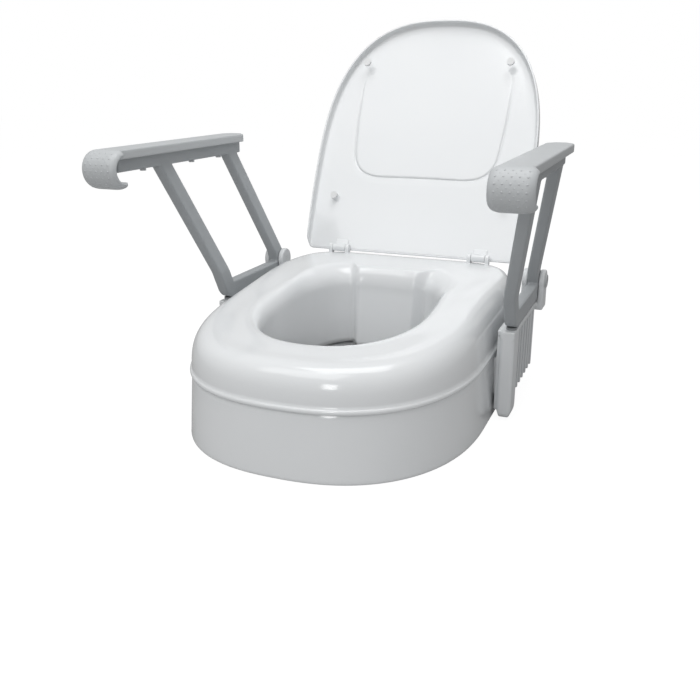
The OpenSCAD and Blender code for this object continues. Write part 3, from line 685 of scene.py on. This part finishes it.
pad_bar, lip_right, lip_left = [], [], []
lip_edge = rounded_rect(lip_t, pad_lip - 1.0, 1.3, 4)
lip_z_mid = pad_z - pad_lip / 2 - lip_drop
for y in np.concatenate([np.linspace(grip_y, clip_y, 40), np.linspace(clip_y, pad_back - 0.3, 6)[1:]]):
    half = pad_half(y)
    plate = rounded_rect(2 * half, pad_t, 1.8, 4)
    crown_drop = 0.9 * (plate[:, 0] / half) ** 2 * (plate[:, 1] > 0)
    pad_bar.append(np.stack([pad_x + plate[:, 0], np.full(len(plate), y),
                             pad_z - pad_t / 2 + plate[:, 1] - crown_drop], 1))
    for lips, sign in ((lip_right, 1), (lip_left, -1)):
        lips.append(np.stack([pad_x + sign * (half - lip_t / 2) + lip_edge[:, 0], np.full(len(lip_edge), y),
                              lip_z_mid + lip_edge[:, 1]], 1))
rear_lip = [np.stack([np.full(len(lip_edge), x), pad_back - 1.8 + lip_edge[:, 0],
                      lip_z_mid + lip_edge[:, 1]], 1) for x in np.linspace(pad_x - 8.5, pad_x + 8.5, 12)]
curl = []
across = np.linspace(-1, 1, 25)
drum_outer = np.stack([across * (grip_w / 2 - 0.3), grip_reach(across)], 1)
drum_inner = np.stack([across[::-1] * (grip_w / 2 - 1.2), np.full(25, grip_hollow + 0.2)], 1)
drum = np.concatenate([drum_outer, drum_inner])
for a in np.radians(np.linspace(88, 284, 60)):
    curl.append(np.stack([pad_x + drum[:, 0], grip_y + drum[:, 1] * math.cos(a),
                          grip_z + drum[:, 1] * math.sin(a)], 1))
dot_pitch, dot_turn, dot_sides = 8.2, 19.5, 10
dot_profile = ((1.0, -0.35), (0.85, 0.35), (0.5, 0.85), (0.12, 1.0))


def raised_dots(columns, rows, radius, height, start):
    """Low round dots on the grip's front, set out in columns across and rows round it."""
    verts, faces = [], []
    for c in range(columns):
        for r in range(rows):
            x0 = (c - (columns - 1) / 2) * dot_pitch
            a0 = math.radians(start + r * dot_turn)
            first = len(verts)
            for share, lift in dot_profile:
                for k in range(dot_sides):
                    t = 2 * math.pi * k / dot_sides
                    x = x0 + radius * share * math.cos(t)
                    a = a0 + radius * share * math.sin(t) / grip_r
                    reach = grip_reach(x / (grip_w / 2)) + height * lift - 0.25
                    verts.append((pad_x + x, grip_y + reach * math.cos(a), grip_z + reach * math.sin(a)))
            for ring in range(len(dot_profile) - 1):
                low = first + ring * dot_sides
                for k in range(dot_sides):
                    ahead = (k + 1) % dot_sides
                    faces.append((low + k, low + ahead, low + dot_sides + ahead, low + dot_sides + k))
            crown = first + (len(dot_profile) - 1) * dot_sides
            faces.append(tuple(crown + k for k in range(dot_sides)))
            faces.append(tuple(first + k for k in range(dot_sides))[::-1])
    return verts, faces


for side, word in ((1, "right"), (-1, "left")):
    pad = moulded(f"arm_pad_moulding_{word}", [lofted(pad_bar), lofted(lip_right), lofted(lip_left),
                                               lofted(rear_lip), lofted(curl)], side, voxel=0.9, passes=4)
    finish_piece(pad, f"arm_{word}", pale_grey, "arm_plastic", f"arm_pad_{word}")
    large_dots, small_dots = raised_dots(5, 7, 1.5, 0.75, 122), raised_dots(4, 6, 1.0, 0.55, 131.75)
    dots = moulded(f"grip_dots_{word}", [large_dots, small_dots], side)
    dots.data.polygons.foreach_set("use_smooth", [True] * len(dots.data.polygons))
    finish_piece(dots, f"arm_{word}", pale_grey, "arm_plastic")

# --- Arm brackets ---
# Each bracket is a pale grey moulding screwed to the skirt's side: a rounded column in front, a ribbed plate
# behind it whose lower edge slants up, and a fork of two round ears that holds the arm's hinge pin.
bracket_grey = moulding_finish("bracket_grey_moulding", (0.74, 0.755, 0.765), (0.69, 0.71, 0.725),
                               (0.34, 0.46), (1300.0, 120.0), 0.00014, speck=0.4)
plate_x, plate_t, column_w, column_low, column_top = 197.6, 6.0, 34.0, 3.0, 125.8
ear_r, fork_t, fork_gap, plate_back = 17.0, 8.0, 0.4, 234.0
rib_t, rib_tall, rib_start, rib_step, rib_mid_z, rib_proud = 4.0, 91.0, 48.0, 21.0, 76.0, 17.0
column_y = front_foot - 6 + column_w / 2


def panel_outline():
    """Side view of the plate, whose lower edge slants up to the rear."""
    front = column_y - 9
    return np.array([(front, 12), (front_foot + column_w, 8), (pivot_y - 20, 22), (plate_back, 44),
                     (plate_back, pivot_z - 12), (pivot_y - 40, column_top), (front, column_top)], float)


def fork_outline(n=21):
    """Side view of a fork's ear: round over the pin and straight down to the plate's top."""
    a = np.radians(np.linspace(-20, 200, n))
    top = np.stack([pivot_y + ear_r * np.cos(a), pivot_z + ear_r * np.sin(a)], 1)
    return np.concatenate([top, [(pivot_y - ear_r, column_top - 11), (pivot_y + ear_r, column_top - 11)]])


for side, word in ((1, "right"), (-1, "left")):
    column = across_bar(rounded_rect(column_w, column_top - column_low, 8)
                        + (column_y, (column_low + column_top) / 2),
                        plate_x + plate_t - 1, arm_foot_x + arm_t / 2, ease=3.5, pull=0.12)
    cap_block = across_bar(rounded_rect(column_w, 10, 1) + (column_y, column_top - 5),
                           plate_x + plate_t - 1, arm_foot_x + arm_t / 2)
    plate = across_bar(panel_outline(), plate_x, plate_x + plate_t, pull=0.01)
    ribs = [across_bar(rounded_rect(rib_t, rib_tall, 1) + (front_foot + rib_start + rib_step * k, rib_mid_z),
                       plate_x, plate_x + plate_t + rib_proud) for k in range(6)]
    ledge = across_bar(rounded_rect(plate_back - front_foot, 8, 1.5)
                       + ((plate_back + front_foot) / 2, column_top - 4),
                       plate_x, plate_x + plate_t + rib_proud)
    fork = [across_bar(fork_outline(), x, x + fork_t, ease=1.5, pull=0.06)
            for x in (plate_x, arm_foot_x + arm_t / 2 + fork_gap)]
    saddle = across_bar(rounded_rect(2 * ear_r, 10, 1.5) + (pivot_y, column_top - 7),
                        plate_x, plate_x + arm_t + 2 * fork_t + 2 * fork_gap)
    bracket = moulded(f"bracket_moulding_{word}", [column, cap_block, plate, ledge, saddle] + ribs + fork,
                      side, voxel=1.1, passes=3)
    finish_piece(bracket, "seat", bracket_grey, "bracket_plastic", f"arm_bracket_{word}")

# --- Hinge caps ---
# A dished plug closes the outer end of each arm's hinge: a raised ring, a sunk face and a small centre pip.
# It hides the end of the pin and is a little darker than the bracket round it.
plug_profile = [(0.01, 0.9), (1.6, 0.9), (2.0, 0.5), (6.4, 0.5), (6.9, 0.9), (7.2, 2.0), (7.7, 2.4),
                (9.0, 2.4), (9.6, 2.0), (9.9, 1.2), (10.0, 0.0), (9.5, -0.2), (0.01, -0.2)]
cap_grey = moulding_finish("cap_grey_moulding", (0.52, 0.535, 0.545), (0.48, 0.495, 0.505),
                           (0.38, 0.50), (1300.0, 120.0), 0.00012, speck=0.4)
for side, word in ((1, "right"), (-1, "left")):
    cap_x = plate_x + arm_t + 2 * fork_t + 2 * fork_gap
    spokes = np.radians(np.linspace(0, 360, 48, endpoint=False))
    plug_rings = [np.stack([np.full(len(spokes), side * (cap_x + lift)), widest_y + pivot_y + r * np.cos(spokes),
                            pivot_z + r * np.sin(spokes)], 1) for r, lift in plug_profile]
    plug = skin_grid(f"hinge_cap_{word}", np.array(plug_rings), closed=True, flip=side < 0)
    finish_piece(plug, "seat", cap_grey, "arm_plastic", f"pivot_cap_{word}")

# --- Small fittings ---
# Steel pins and screws, rubber pads, stops and buffers, and the two hand clamps under the flange keep their
# CAD shapes. Each takes the finish of its own stuff.
plain_steel = moulding_finish("plain_steel", (0.56, 0.57, 0.58), (0.46, 0.47, 0.49), (0.26, 0.42),
                              (2200.0, 300.0), 0.00006, metal=1.0)
black_rubber = moulding_finish("black_rubber", (0.035, 0.035, 0.037), (0.055, 0.055, 0.058), (0.62, 0.78),
                               (1100.0, 200.0), 0.00020)
grey_rubber = moulding_finish("grey_rubber", (0.30, 0.31, 0.32), (0.26, 0.27, 0.28), (0.55, 0.70),
                              (1100.0, 200.0), 0.00016)
pale_rubber = moulding_finish("white_rubber", (0.78, 0.79, 0.79), (0.73, 0.74, 0.745), (0.50, 0.64),
                               (900.0, 90.0), 0.00014)
stuffs = {"white_shell": white_gloss, "arm_plastic": pale_grey, "bracket_plastic": bracket_grey,
          "rubber": black_rubber, "steel": plain_steel, "pale_rubber": pale_rubber,
          "grey_rubber": grey_rubber}
for part in frame["record"]["subparts"]:
    cad_piece = frame["nodes"][part["node"]]
    cad_piece.data.materials.clear()
    cad_piece.data.materials.append(stuffs[part["material_slot"]])
